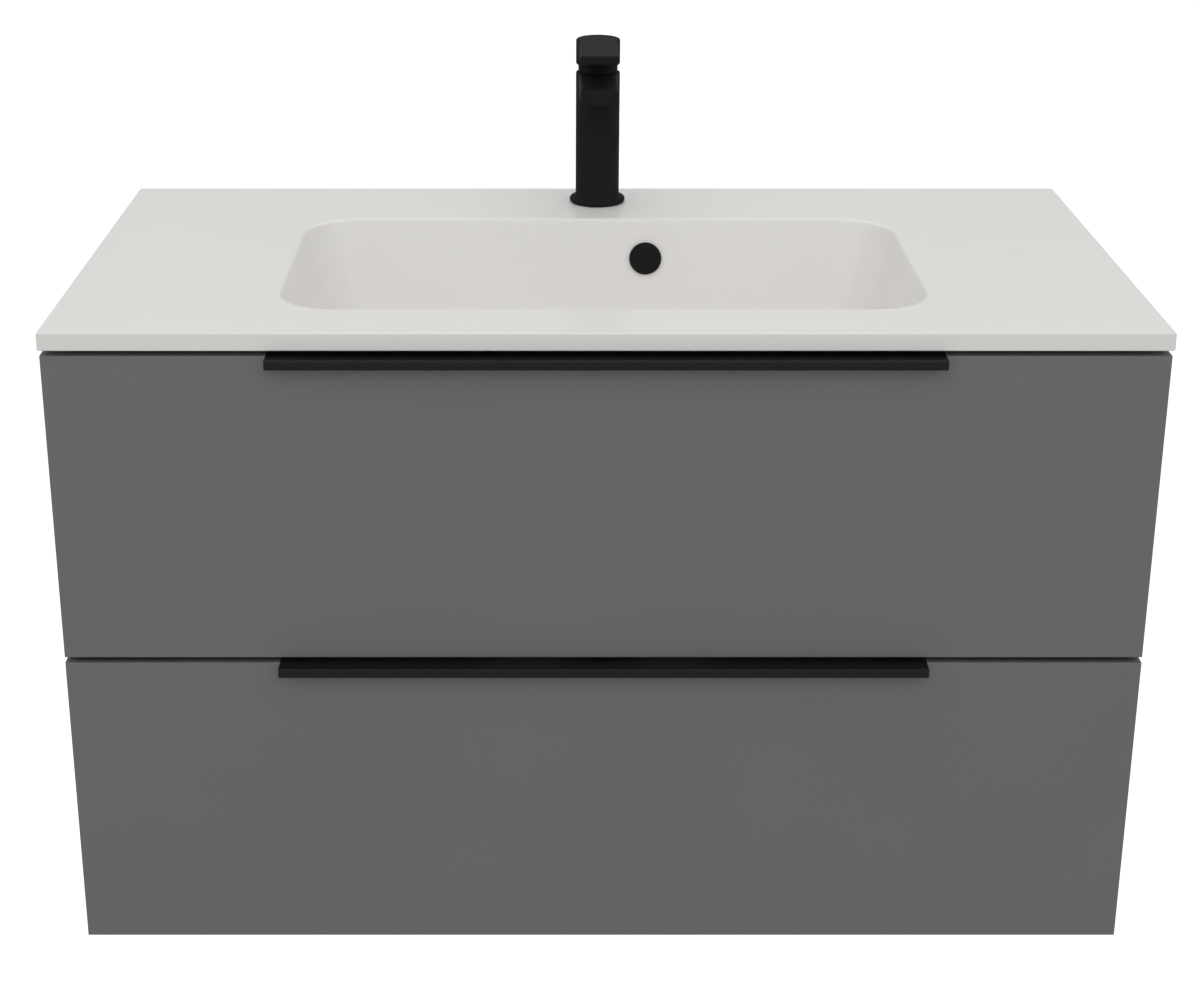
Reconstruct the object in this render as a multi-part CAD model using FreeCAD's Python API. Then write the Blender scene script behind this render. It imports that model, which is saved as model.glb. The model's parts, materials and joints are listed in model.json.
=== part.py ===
import FreeCAD, Part
import math
import os
from FreeCAD import Vector

# Wall-hung bathroom vanity cabinet with an integrated basin top, a lever tap and two drawers.
# Millimetres. X to the right, +Y into the wall, +Z up. The origin lies on the wall plane, midway
# between the two wall screws. Levels are heights above those screws.

# Counter and basin
top_width = 900.0
top_depth = 460.0
top_z = 60.0
top_thick = 15.0
top_edge_round = 1.5
bowl_half_x = 270.0
bowl_half_y = 140.0
bowl_y = -256.0
bowl_depth = 105.0
bowl_corner = 50.0
bowl_lean = 15.0
bowl_floor_round = 38.0
bowl_rim_round = 3.0
bowl_wall = 12.0
floor_fall = 4.0
overflow_x = 44.0
overflow_drop = 37.0
overflow_hole_r = 11.0

# Carcass and drawers
cabinet_width = 898.0
cabinet_height = 540.0
board = 16.0
front_board = 18.0
front_gap = 5.0
front_setback = 2.0
buffer_gap = 3.0
box_half_x = 420.0
box_side = 15.0
box_back_y = -40.0
base_board = 8.0
base_raise = 7.0
cutout_half_x = 95.0
cutout_front_y = -345.0
cutout_wall = 12.0

# Edge handles
handle_length = 540.0
handle_reach = 12.0
handle_lip = 8.0
handle_leg = 25.0
handle_thick = 2.0
handle_screw_x = (-210.0, 0.0, 210.0)
handle_screw_drop = 16.25

# Tap
tap_y = -50.0
tap_body_r = 20.8
tap_body_h = 126.0
tap_cap_low = 133.0
tap_cap_high = 157.5
tap_pivot_h = 130.0
tap_hole_r = 17.5
paddle_half = 17.5
spout_reach = 88.0
lever_reach = 90.0

# Waste and trap
waste_bore_r = 22.5
waste_tail_r = 20.9
pipe_r = 16.0
pipe_wall = 1.5
outlet_z = -190.0
spigot = 56.0

# Worked out from the values above
under_z = top_z - top_thick
floor_z = under_z - cabinet_height
front_height = (cabinet_height - 2 * front_gap) / 2
front_face_y = -top_depth + front_setback
front_back_y = front_face_y + front_board
carcass_front_y = front_back_y + buffer_gap
side_x = cabinet_width / 2
inner_x = side_x - board
bowl_floor_z = top_z - bowl_depth
drain_z = bowl_floor_z - floor_fall
upper_top_z = under_z - front_gap
lower_top_z = upper_top_z - front_height - front_gap

# Each drawer: its front's upper edge, its box's lower and upper edges, its runners' height
drawers = {
    "upper": {"top": upper_top_z, "low": -205.0, "high": -80.0, "runner": -150.0},
    "lower": {"top": lower_top_z, "low": -470.0, "high": -280.0, "runner": -400.0},
}


def box(x0, x1, y0, y1, z0, z1):
    return Part.makeBox(x1 - x0, y1 - y0, z1 - z0, Vector(x0, y0, z0))


def rod(r, start, end):
    run = Vector(*end) - Vector(*start)
    return Part.makeCylinder(r, run.Length, Vector(*start), run)


def upright(r, z0, z1, x=0.0, y=0.0):
    return rod(r, (x, y, z0), (x, y, z1))


def ring(outer, inner, z0, z1, x=0.0, y=0.0):
    return upright(outer, z0, z1, x, y).cut(upright(inner, z0, z1, x, y))


def hexagon(across, z0, z1, x, y):
    corner = across / math.sqrt(3)
    angles = [math.radians(60 * k) for k in range(7)]
    loop = [Vector(x + corner * math.cos(a), y + corner * math.sin(a), z0) for a in angles]
    return Part.Face(Part.makePolygon(loop)).extrude(Vector(0, 0, z1 - z0))


def profile_along_x(points, x0, x1):
    loop = [Vector(x0, y, z) for y, z in points]
    return Part.Face(Part.makePolygon(loop + loop[:1])).extrude(Vector(x1 - x0, 0, 0))


def fuse(shapes):
    return shapes[0].fuse(shapes[1:]).removeSplitter()


def drill(shape, pins):
    return shape.cut(pins) if pins else shape


def mirrored(shape):
    return shape.mirror(Vector(0, 0, 0), Vector(1, 0, 0))


def pair(shape):
    return Part.makeCompound([mirrored(shape), shape])


def rounded(shape, radius, wanted):
    edges = [edge for edge in shape.Edges if wanted(edge.BoundBox)]
    return shape.makeFillet(radius, edges)


def save(name, shapes):
    solid = shapes if isinstance(shapes, Part.Shape) else Part.makeCompound(shapes)
    solid.exportStep("parts/" + name + ".step")


# Fasteners of the carcass. Each is listed for the right side and mirrored to the left.

dowel_r = 4.0
dowel_reach = (418.0, 445.0)
cam_r = 7.5
cam_depth = 12.5
cam_inset = 24.0
cam_bolt_r = 3.0
cam_x = inner_x - cam_inset
cam_slot = (0.8, 1.5)
bottom_mid_z = floor_z + board / 2
rail_y = (-18.0, -2.0)
rail_mid_y = sum(rail_y) / 2
rear_top_z = (-75.0, under_z)
rear_low_z = (floor_z + board, floor_z + board + 100.0)
front_rail_y = (carcass_front_y, carcass_front_y + 25.0)
bottom_dowel_y = (-400.0, -225.0, -60.0)
rail_dowel_z = (-62.0, -32.0, -464.0, -394.0)
bottom_cam_y = (-330.0, -130.0)
rail_cam_z = (-47.0, -429.0)


def dowels():
    places = [(y, bottom_mid_z) for y in bottom_dowel_y]
    places += [(rail_mid_y, z) for z in rail_dowel_z]
    places += [(sum(front_rail_y) / 2, under_z - board / 2)]
    return [rod(dowel_r, (dowel_reach[0], y, z), (dowel_reach[1], y, z)) for y, z in places]


def cam_bolts():
    places = [(y, bottom_mid_z) for y in bottom_cam_y]
    places += [(rail_mid_y, z) for z in rail_cam_z]
    return [rod(cam_bolt_r, (cam_x, y, z), (dowel_reach[1], y, z)) for y, z in places]


def cams():
    discs = [upright(cam_r, floor_z, floor_z + cam_depth, cam_x, y) for y in bottom_cam_y]
    start, end = rail_y[0], rail_y[0] + cam_depth
    discs += [rod(cam_r, (cam_x, start, z), (cam_x, end, z)) for z in rail_cam_z]
    return discs


def cam_slots():
    half, deep = cam_slot
    span = (cam_x - 5.0, cam_x + 5.0)
    slots = [box(*span, y - half, y + half, floor_z, floor_z + deep) for y in bottom_cam_y]
    slots += [box(*span, rail_y[0], rail_y[0] + deep, z - half, z + half) for z in rail_cam_z]
    return slots


screw_r = 2.0
screw_head_r = 3.5
screw_head = 1.4
screw_tip_x = inner_x + 12.0


def wood_screw(head_x, y, z):
    shank = rod(screw_r, (head_x, y, z), (screw_tip_x, y, z))
    head = rod(screw_head_r, (head_x, y, z), (head_x + screw_head, y, z))
    return head.fuse(shank)


hanger_low = -18.0
hanger_high = 36.0
hanger_y = (-72.0, -20.0)
hanger_x = (413.0, inner_x)
hanger_screw_y = (-60.0, -32.0)
hanger_screw_z = -8.0
hanger_screw_sink = 2.0


def hanger_screws():
    head_x = hanger_x[0] + hanger_screw_sink
    return [wood_screw(head_x, y, hanger_screw_z) for y in hanger_screw_y]


runner_y = (-436.0, -36.0)
runner_screw_y = (-400.0, -236.0, -72.0)
runner_web = 1.4


def runner_screws():
    head_x = inner_x - runner_web - screw_head
    return [wood_screw(head_x, y, spec["runner"]) for spec in drawers.values() for y in runner_screw_y]


rail_notch = (365.0, -22.0)


def carcass():
    pins = dowels() + cam_bolts()
    side = box(inner_x, side_x, carcass_front_y, 0.0, floor_z, under_z)
    side = drill(side, pins + hanger_screws() + runner_screws())
    save("side_panel_right", side)
    save("side_panel_left", mirrored(side))

    both = pins + cams()
    both += [mirrored(pin) for pin in both]
    bottom = box(-inner_x, inner_x, carcass_front_y, rail_y[1], floor_z, floor_z + board)
    save("bottom_panel", drill(bottom, both))
    front_rail = box(-inner_x, inner_x, *front_rail_y, under_z - board, under_z)
    save("front_top_rail", drill(front_rail, both))
    rear_top = box(-inner_x, inner_x, *rail_y, *rear_top_z)
    notch = box(rail_notch[0], inner_x, *rail_y, rail_notch[1], under_z)
    save("rear_top_rail", drill(rear_top, both + [notch, mirrored(notch)]))
    rear_low = box(-inner_x, inner_x, *rail_y, *rear_low_z)
    save("rear_bottom_rail", drill(rear_low, both))

    save("dowels", [pair(pin) for pin in dowels()])
    turned = [cam.cut(cam_bolts() + cam_slots()) for cam in cams()]
    save("cam_fittings", [pair(piece) for piece in turned + cam_bolts()])
    save("carcass_screws", [pair(screw) for screw in hanger_screws() + runner_screws()])


buffer_x = 441.0
buffer_r = 4.0
buffer_inset = 15.0
buffer_play = 0.2


def front_buffers():
    pads = []
    for spec in drawers.values():
        for z in (spec["top"] - buffer_inset, spec["top"] - front_height + buffer_inset):
            start = (buffer_x, carcass_front_y, z)
            pads.append(rod(buffer_r, start, (buffer_x, front_back_y + buffer_play, z)))
    save("front_buffers", [pair(pad) for pad in pads])


# Wall hanging: each hanger's hook drops behind the raised lip of a plate on the wall.

hook_x = (415.0, 431.0)
hook_root_y = -36.0
hook_z = (27.0, 30.0)
adjuster_x = 423.0
adjuster_z = (18.0, 2.0)
adjuster_r = 4.0
adjuster_deep = 6.0
adjuster_slot = (2.0, 0.6)
plate_x = (369.0, 429.0)
plate_hole_x = 400.0
plate_hole_r = 3.5


def wall_hanging():
    body = box(*hanger_x, *hanger_y, hanger_low, hanger_high)
    body = rounded(body, 3.0, lambda b: b.XLength > 10 and b.YLength < 1 and b.ZLength < 1)
    low, high = hook_z
    hook = [(hook_root_y, low), (-5.0, low), (-5.0, 18.0), (-2.6, 18.0), (-2.6, high), (hook_root_y, high)]
    arm = profile_along_x(hook, *hook_x)
    face_x, face_y = hanger_x[0], hanger_y[0]
    adjusters = []
    slots = []
    for z in adjuster_z:
        adjusters.append(rod(adjuster_r, (adjuster_x, face_y, z), (adjuster_x, face_y + adjuster_deep, z)))
        wide, half = adjuster_slot
        slots.append(box(adjuster_x - wide, adjuster_x + wide, face_y, face_y + 2.0, z - half, z + half))
    sink = []
    for y in hanger_screw_y:
        start = (face_x, y, hanger_screw_z)
        sink.append(rod(screw_head_r + 0.1, start, (face_x + hanger_screw_sink, y, hanger_screw_z)))
    socket = box(*hook_x, hook_root_y, hanger_y[1], *hook_z)
    body = drill(body, adjusters + hanger_screws() + sink + [socket])
    adjusters = [screw.cut(slots) for screw in adjusters]
    save("cabinet_hangers", [pair(body)] + [pair(screw) for screw in adjusters])
    save("hanger_hooks", pair(arm))

    plate = [(0.0, -16.0), (0.0, 16.5), (-5.5, 16.5), (-5.5, 27.0), (-8.0, 27.0), (-8.0, 14.0),
             (-2.5, 14.0), (-2.5, -16.0)]
    plate = profile_along_x(plate, *plate_x)
    hole = rod(plate_hole_r, (plate_hole_x, -10.0, 0.0), (plate_hole_x, 1.0, 0.0))
    save("wall_plates", pair(plate.cut(hole)))


# Basin top: slab, bowl, waste boss and the overflow duct that runs down the bowl's back.


def rounded_rectangle(half_x, half_y, corner, z):
    x = half_x - corner
    y = half_y - corner
    bend = corner * math.sqrt(0.5)
    edges = []
    for sx, sy in ((1, -1), (1, 1), (-1, 1), (-1, -1)):
        start = Vector(sx * half_x, sy * y, z)
        end = Vector(sx * x, sy * half_y, z)
        middle = Vector(sx * (x + bend), sy * (y + bend), z)
        if sx * sy < 0:
            start, end = end, start
        edges.append(Part.Arc(start, middle, end).toShape())
    corners = []
    for k in range(4):
        here = edges[k]
        after = edges[(k + 1) % 4]
        corners += [here, Part.makeLine(here.Vertexes[-1].Point, after.Vertexes[0].Point)]
    wire = Part.Wire(corners)
    wire.translate(Vector(0, bowl_y, 0))
    return wire


def bowl_solid(grow, z_high, z_low, corner_round):
    lean = math.tan(math.radians(bowl_lean))
    inset_high = (top_z - z_high) * lean
    inset_low = (top_z - z_low) * lean
    corner = bowl_corner + grow
    half_x = bowl_half_x + grow
    half_y = bowl_half_y + grow
    high = rounded_rectangle(half_x - inset_high, half_y - inset_high, corner, z_high)
    low = rounded_rectangle(half_x - inset_low, half_y - inset_low, corner, z_low)
    solid = Part.makeLoft([high, low], True, True)
    return rounded(solid, corner_round, lambda b: abs(b.ZMin - z_low) < 0.01 and b.ZLength < 0.01)


def overflow_place(shape):
    shape.rotate(Vector(0, 0, 0), Vector(1, 0, 0), -bowl_lean)
    shape.translate(Vector(overflow_x, bowl_y + bowl_half_y, top_z))
    return shape


duct_z = (-72.0, -60.0)
duct_foot = Vector(overflow_x, -129.0, 0.0)
boss_low = -78.0
boss_wall = 13.5
recess_r = 32.5
recess_deep = 3.5
fall_r = 105.0
cover_r = 15.0
cover_thick = 3.0
cover_gap = 0.5


def floor_duct(half, z0, z1, back):
    run = Vector(-duct_foot.x, bowl_y - duct_foot.y, 0)
    duct = box(-half, half, -run.Length, back, z0, z1)
    duct.rotate(Vector(0, 0, 0), Vector(0, 0, 1), math.degrees(math.atan2(-duct_foot.x, -run.y)))
    duct.translate(duct_foot)
    return duct


def basin_top():
    slab = box(-top_width / 2, top_width / 2, -top_depth, 0.0, under_z, top_z)
    slab = rounded(slab, top_edge_round, lambda b: b.ZMin > top_z - 0.01 and b.YMin < -0.01)
    shell = bowl_solid(bowl_wall, under_z, bowl_floor_z - bowl_wall, bowl_floor_round + bowl_wall)
    boss = upright(waste_bore_r + boss_wall, boss_low, bowl_floor_z - 2.0, 0.0, bowl_y)
    back_housing = overflow_place(box(-22.0, 22.0, 6.0, 31.0, -134.0, -17.0))
    floor_housing = floor_duct(18.0, boss_low, bowl_floor_z - 8.0, 12.0)
    body = fuse([slab, shell, boss, back_housing, floor_housing])

    inside = bowl_solid(0.0, top_z, bowl_floor_z, bowl_floor_round)
    fall = Part.makeCone(recess_r, fall_r, floor_fall, Vector(0, bowl_y, drain_z), Vector(0, 0, 1))
    recess = upright(recess_r, drain_z - recess_deep, drain_z + floor_fall, 0.0, bowl_y)
    bore = upright(waste_bore_r, boss_low - 1.0, drain_z, 0.0, bowl_y)
    back_duct = overflow_place(box(-15.0, 15.0, 12.0, 23.0, -127.0, -24.0))
    passage = rod(overflow_hole_r, (0, -12, -overflow_drop), (0, 13, -overflow_drop))
    passage = overflow_place(passage)
    tap_hole = upright(tap_hole_r, under_z - 1.0, top_z + 1.0, 0.0, tap_y)
    low_duct = floor_duct(11.0, *duct_z, 4.0)
    body = body.cut([inside, fall, recess, bore, back_duct, passage, low_duct, tap_hole])
    rim = rounded(body, bowl_rim_round, lambda b: abs(b.ZMin - top_z) < 0.01 and b.ZLength < 0.01
                  and b.YMax < tap_y - 30 and b.YMin > -top_depth + 20)
    save("basin_top", rim)

    face_y = -cover_gap - cover_thick
    disc = rod(cover_r, (0, face_y, -overflow_drop), (0, -cover_gap, -overflow_drop))
    disc = rounded(disc, 1.2, lambda b: b.YMax < face_y + 0.1)
    collar = rod(overflow_hole_r, (0, -cover_gap, -overflow_drop), (0, 9, -overflow_drop))
    hollow = rod(9.0, (0, 1.0, -overflow_drop), (0, 10, -overflow_drop))
    window = box(-6.0, 6.0, -0.6, 1.2, -overflow_drop - 12, -overflow_drop - 8)
    save("overflow_cover", overflow_place(disc.fuse(collar).cut([hollow, window])))


# Tap: heights are measured from the counter's upper face, on the tap's own axis.


def tap_level(h):
    return top_z + h


def tap_disc(r, h0, h1):
    return upright(r, tap_level(h0), tap_level(h1), 0.0, tap_y)


def tap_block(half_x, half_y, h0, h1):
    return box(-half_x, half_x, tap_y - half_y, tap_y + half_y, tap_level(h0), tap_level(h1))


def tap_profile(points, x0, x1):
    return profile_along_x([(tap_y - reach, tap_level(h)) for reach, h in points], x0, x1)


def tap_shell():
    rim = 26.5
    waist = tap_body_r
    points = [Vector(0, 0, 0), Vector(rim - 2, 0, 0)]
    outline = [Part.makeLine(*points)]
    outline.append(Part.Arc(points[-1], Vector(rim, 0, 2.8), Vector(rim - 2, 0, 5.6)).toShape())
    flare = Part.Arc(Vector(rim - 2, 0, 5.6), Vector(waist + 1.1, 0, 6.9), Vector(waist, 0, 10))
    outline.append(flare.toShape())
    rest = [Vector(waist, 0, 10), Vector(waist, 0, tap_body_h), Vector(0, 0, tap_body_h), Vector(0, 0, 0)]
    outline += [Part.makeLine(a, b) for a, b in zip(rest, rest[1:])]
    solid = Part.Face(Part.Wire(outline)).revolve(Vector(0, 0, 0), Vector(0, 0, 1), 360)
    solid.translate(Vector(0, tap_y, top_z))
    return solid


inlet_x = 8.5
inlet_y = tap_y - 4.0
inlet_r = 5.0
port_r = 3.5
stud_y = tap_y + 11.5
stud_r = 4.0
aerator_y = tap_y - 75.0
aerator_r = 9.25
waterway_r = 6.0
waterway_h = 117.0
cartridge_r = 17.6
cartridge_h = (70.0, 112.0)
pin_r = 2.0
grub_h = 152.3


def tap_fixed():
    spout = [(0, 126), (spout_reach, 126), (spout_reach, 112), (24, 106), (0, 106)]
    spout = tap_profile(spout, -paddle_half, paddle_half)
    spout = rounded(spout, 1.5, lambda b: b.YMax < tap_y - spout_reach + 0.1)
    body = fuse([tap_shell(), spout])
    hollows = [tap_disc(cartridge_r, cartridge_h[0], tap_body_h + 1)]
    hollows += [rod(waterway_r, (0, tap_y, tap_level(waterway_h)), (0, aerator_y, tap_level(waterway_h)))]
    hollows += [upright(aerator_r, tap_level(105), tap_level(118), 0.0, aerator_y)]
    for x in (-inlet_x, inlet_x):
        hollows.append(upright(inlet_r, tap_level(0), tap_level(15), x, inlet_y))
        hollows.append(upright(port_r, tap_level(14), tap_level(71), x, inlet_y))
    hollows.append(upright(stud_r, tap_level(0), tap_level(20), 0.0, stud_y))
    gasket = ring(24.0, 19.0, tap_level(0), tap_level(1.2), 0.0, tap_y)
    save("tap_body", body.cut(hollows + [gasket]))
    save("tap_base_gasket", gasket)

    aerator = upright(aerator_r, tap_level(113.5), tap_level(118), 0.0, aerator_y)
    jet_z = (tap_level(113), tap_level(116.5))
    jets = [upright(1.0, *jet_z, 0.0, aerator_y)]
    for a in [math.radians(45 * k) for k in range(8)]:
        jets.append(upright(1.0, *jet_z, 5.0 * math.cos(a), aerator_y + 5.0 * math.sin(a)))
    above = upright(7.5, tap_level(116.5), tap_level(118), 0.0, aerator_y)
    save("tap_aerator", aerator.cut(jets + [above]))

    cartridge = tap_disc(cartridge_r, *cartridge_h)
    ports = [upright(port_r, tap_level(69), tap_level(78), x, inlet_y) for x in (-inlet_x, inlet_x)]
    outlet = rod(waterway_r, (0, tap_y - 10, tap_level(104)), (0, tap_y - 20, tap_level(104)))
    socket = tap_disc(11.0, 106, 113)
    save("tap_cartridge", cartridge.cut(ports + [outlet, socket]))
    nut = ring(cartridge_r, 14.1, tap_level(cartridge_h[1]), tap_level(122), 0.0, tap_y)
    save("tap_cartridge_nut", nut)

    save("tap_stud", upright(stud_r, under_z - 45.0, tap_level(20), 0.0, stud_y))
    horseshoe = upright(25.0, under_z - 4.0, under_z, 0.0, tap_y)
    mouth = upright(14.0, under_z - 5.0, under_z + 1.0, 0.0, tap_y - 5.5)
    slot = box(-14.0, 14.0, tap_y - 30.0, tap_y - 5.5, under_z - 5.0, under_z + 1.0)
    stud_hole = upright(stud_r, under_z - 5.0, under_z + 1.0, 0.0, stud_y)
    save("tap_clamp_washer", horseshoe.cut([mouth, slot, stud_hole]))
    nut = hexagon(13.0, under_z - 29.0, under_z - 4.0, 0.0, stud_y)
    save("tap_clamp_nut", nut.cut(upright(stud_r, under_z - 30.0, under_z, 0.0, stud_y)))


def tap_moving():
    dome_r = 18.6
    pivot = Vector(0, tap_y, tap_level(tap_pivot_h))
    dome = Part.makeSphere(dome_r, pivot)
    dome = dome.common(tap_block(30, 30, tap_body_h + 0.3, 143))
    spigot = tap_disc(13.8, 119, tap_body_h + 1)
    slot = tap_block(4.6, 10.0, 110, 150)
    pin = rod(pin_r, (-12, tap_y, pivot.z), (12, tap_y, pivot.z))
    save("tap_swivel_collar", dome.fuse(spigot).cut([slot, pin]))
    save("tap_pivot_pin", pin)

    stem = tap_block(4.0, 4.0, 114, 155)
    stem = stem.cut(rod(pin_r + 0.05, (-12, tap_y, pivot.z), (12, tap_y, pivot.z)))
    save("tap_stem", stem)

    cap = tap_disc(tap_body_r, tap_cap_low, tap_cap_high)
    cap = rounded(cap, 2.0, lambda b: b.ZMin > tap_level(tap_cap_high) - 0.1)
    paddle = [(0, 157.5), (lever_reach, 157.5), (lever_reach, 150), (22, 143), (0, 143)]
    paddle = tap_profile(paddle, -paddle_half, paddle_half)
    paddle = rounded(paddle, 1.5, lambda b: b.YMax < tap_y - lever_reach + 0.1)
    cavity = Part.makeSphere(dome_r + 0.6, pivot)
    grub_z = tap_level(grub_h)
    grub = rod(2.0, (0, tap_y + 4.0, grub_z), (0, tap_y + 19.0, grub_z))
    key_way = rod(2.0, (0, tap_y + 19.0, grub_z), (0, tap_y + 25.0, grub_z))
    cap = fuse([cap, paddle]).cut([cavity, tap_block(4.0, 4.0, 140, 155), grub, key_way])
    save("tap_lever", cap)
    key = rod(1.2, (0, tap_y + 16.5, grub_z), (0, tap_y + 20.0, grub_z))
    save("tap_grub_screw", grub.cut(key))


# Waste and bottle trap, on the bowl's drain axis

flange_z = (drain_z - 2.5, drain_z + 0.5)
tail_low = -130.0
hub_z = (-80.0, -74.0)
plug_stem_r = 3.0


def waste():
    x, y = 0.0, bowl_y
    body = upright(32.0, *flange_z, x, y).fuse(upright(waste_tail_r, tail_low, flange_z[0], x, y))
    body = body.cut([upright(17.5, tail_low, flange_z[1], x, y), box(-9, 9, y, y + 30, *duct_z)])
    bars = [box(-18.0, 18.0, y - 1.5, y + 1.5, *hub_z), box(-1.5, 1.5, y - 18.0, y + 18.0, *hub_z)]
    hub = fuse(bars + [upright(6.0, *hub_z, x, y)])
    save("waste_body", body.fuse(hub).cut(upright(plug_stem_r + 0.05, *hub_z, x, y)))

    upper = ring(31.0, 23.0, flange_z[0] - 1.0, flange_z[0], x, y)
    lower = ring(32.0, waste_tail_r, boss_low - 4.0, boss_low, x, y)
    save("waste_gaskets", [upper, lower])
    nut = hexagon(56.0, boss_low - 14.0, boss_low - 4.0, x, y)
    save("waste_nut", nut.cut(upright(waste_tail_r, boss_low - 15.0, boss_low, x, y)))

    cover_low = flange_z[1] + 0.3
    cover = upright(30.0, cover_low, cover_low + 5.0, x, y)
    cover = rounded(cover, 2.0, lambda b: b.ZMin > cover_low + 4.9)
    stem = upright(plug_stem_r, hub_z[0] - 12.0, cover_low, x, y)
    save("waste_plug", cover.fuse(stem))


def ribbed_nut(outer, z0, z1, x, y):
    grip = upright(outer, z0, z1, x, y)
    ribs = [box(-1.5, 1.5, outer - 1.0, outer + 1.5, z0 + 1, z1 - 1) for _ in range(12)]
    for k, rib in enumerate(ribs):
        rib.rotate(Vector(0, 0, 0), Vector(0, 0, 1), 30 * k)
        rib.translate(Vector(x, y, 0))
    return fuse([grip] + ribs)


neck_r = 20.5


def trap():
    x, y = 0.0, bowl_y
    inner = pipe_r - pipe_wall
    union = ribbed_nut(27.0, -136.0, -112.0, x, y)
    union = union.cut([upright(waste_tail_r, -132.0, -111.0, x, y), upright(pipe_r, -137.0, -131.0, x, y)])
    save("trap_union_nut", union)
    tube = fuse([upright(pipe_r, -238.0, tail_low, x, y), upright(19.5, tail_low - 2.0, tail_low, x, y)])
    save("trap_inlet_tube", tube.cut(upright(inner, -239.0, -129.0, x, y)))

    top_nut = ribbed_nut(25.0, -168.0, -148.0, x, y)
    top_nut = top_nut.cut([upright(neck_r, -169.0, -151.0, x, y), upright(pipe_r, -152.0, -147.0, x, y)])
    save("trap_top_nut", top_nut)

    branch_end = y + 58.0
    branch = rod(neck_r, (x, y, outlet_z), (x, branch_end, outlet_z))
    outside = fuse([upright(neck_r, -178.0, -151.0, x, y), upright(31.0, -226.0, -172.0, x, y), branch])
    chamber = upright(27.5, -227.0, -176.0, x, y)
    bore = rod(pipe_r, (x, y, outlet_z), (x, branch_end + 1, outlet_z))
    save("trap_body", outside.cut([upright(pipe_r, -177.0, -150.0, x, y), chamber, bore]))

    cup = ribbed_nut(34.0, -232.0, -212.0, x, y).fuse(upright(30.0, -258.0, -232.0, x, y))
    cup = rounded(cup.removeSplitter(), 5.0, lambda b: b.ZMax < -257.9)
    save("trap_cup", cup.cut([upright(31.0, -226.0, -211.0, x, y), upright(27.0, -254.0, -225.0, x, y)]))

    nut = ribbed_nut(25.0, -12.0, 12.0, 0.0, 0.0)
    nut = nut.cut([upright(neck_r, -13.0, 9.0), upright(pipe_r, 8.0, 13.0)])
    nut.rotate(Vector(0, 0, 0), Vector(1, 0, 0), -90)
    nut.translate(Vector(x, branch_end - 9.0, outlet_z))
    save("trap_outlet_nut", nut)
    pipe = rod(pipe_r, (x, branch_end - 22.0, outlet_z), (x, 0.0, outlet_z))
    bead = rod(pipe_r + 1.5, (x, -spigot - 4.0, outlet_z), (x, -spigot, outlet_z))
    bore = rod(inner, (x, branch_end - 23.0, outlet_z), (x, 1.0, outlet_z))
    save("trap_outlet_pipe", pipe.fuse(bead).cut(bore))


# Runners: three nested channels a side. The outer one is screwed to the cabinet's side, the inner
# one to the drawer, and the middle one travels half as far as the drawer.


def channel(web_x, flange_x, half, y_span, z):
    inward = min(flange_x, web_x)
    outward = max(flange_x, web_x)
    solid = box(inward, outward, *y_span, z - half, z + half)
    room_x = (web_x + runner_web, outward + 1) if web_x < flange_x else (inward - 1, web_x - runner_web)
    return solid.cut(box(*room_x, *y_span, z - half + runner_web, z + half - runner_web))


def runners():
    for name, spec in drawers.items():
        z = spec["runner"]
        outer = channel(inner_x, 423.0, 22.5, runner_y, z).cut(runner_screws())
        save(name + "_runner_outer", pair(outer))
        middle = channel(428.6, 422.6, 18.0, (-434.0, -54.0), z)
        save(name + "_runner_middle", pair(middle))
        inner = channel(box_half_x, 426.0, 13.5, (-438.0, -42.0), z)
        save(name + "_runner_inner", pair(inner))


# Drawers


def countersink(x, z):
    return Part.makeCone(1.5, 3.0, handle_thick, Vector(x, front_back_y, z), Vector(0, 1, 0))


def handle_screw(x, z):
    tip_y = front_back_y - 11.0
    head_y = front_back_y + handle_thick
    screw = countersink(x, z).fuse(rod(1.5, (x, tip_y, z), (x, head_y, z)))
    return screw.cut(box(x - 2, x + 2, head_y - 0.8, head_y + 1, z - 0.4, z + 0.4))


def handle_fixings(spec):
    z = spec["top"] - handle_screw_drop
    return [handle_screw(x, z) for x in handle_screw_x]


def handle(spec):
    top = spec["top"]
    lip_y = front_face_y - handle_reach
    back_y = front_back_y + handle_thick
    outline = [(lip_y, top), (back_y, top), (back_y, top - handle_leg), (front_back_y, top - handle_leg),
               (front_back_y, top - handle_thick), (lip_y + handle_thick, top - handle_thick),
               (lip_y + handle_thick, top - handle_lip), (lip_y, top - handle_lip)]
    solid = profile_along_x(outline, -handle_length / 2, handle_length / 2)
    solid = rounded(solid, 1.5, lambda b: b.YMax < lip_y + 0.1 and b.ZMin > top - 0.1)
    solid = rounded(solid, 0.6, lambda b: b.XLength > 10 and b.YMax < lip_y + handle_thick + 0.1
                    and b.ZMax < top - handle_lip + 0.1)
    z = top - handle_screw_drop
    holes = [countersink(x, z) for x in handle_screw_x]
    return solid.cut(holes)


def drawer_front(spec):
    top = spec["top"]
    panel = box(-side_x, side_x, front_face_y, front_back_y, top - front_height, top)
    panel = rounded(panel, 1.0, lambda b: b.YMax < front_face_y + 0.01)
    rebate = box(-handle_length / 2, handle_length / 2, front_face_y - 1, front_back_y + 1,
                 top - handle_thick, top + 1)
    return drill(panel, [rebate] + handle_fixings(spec))


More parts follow.
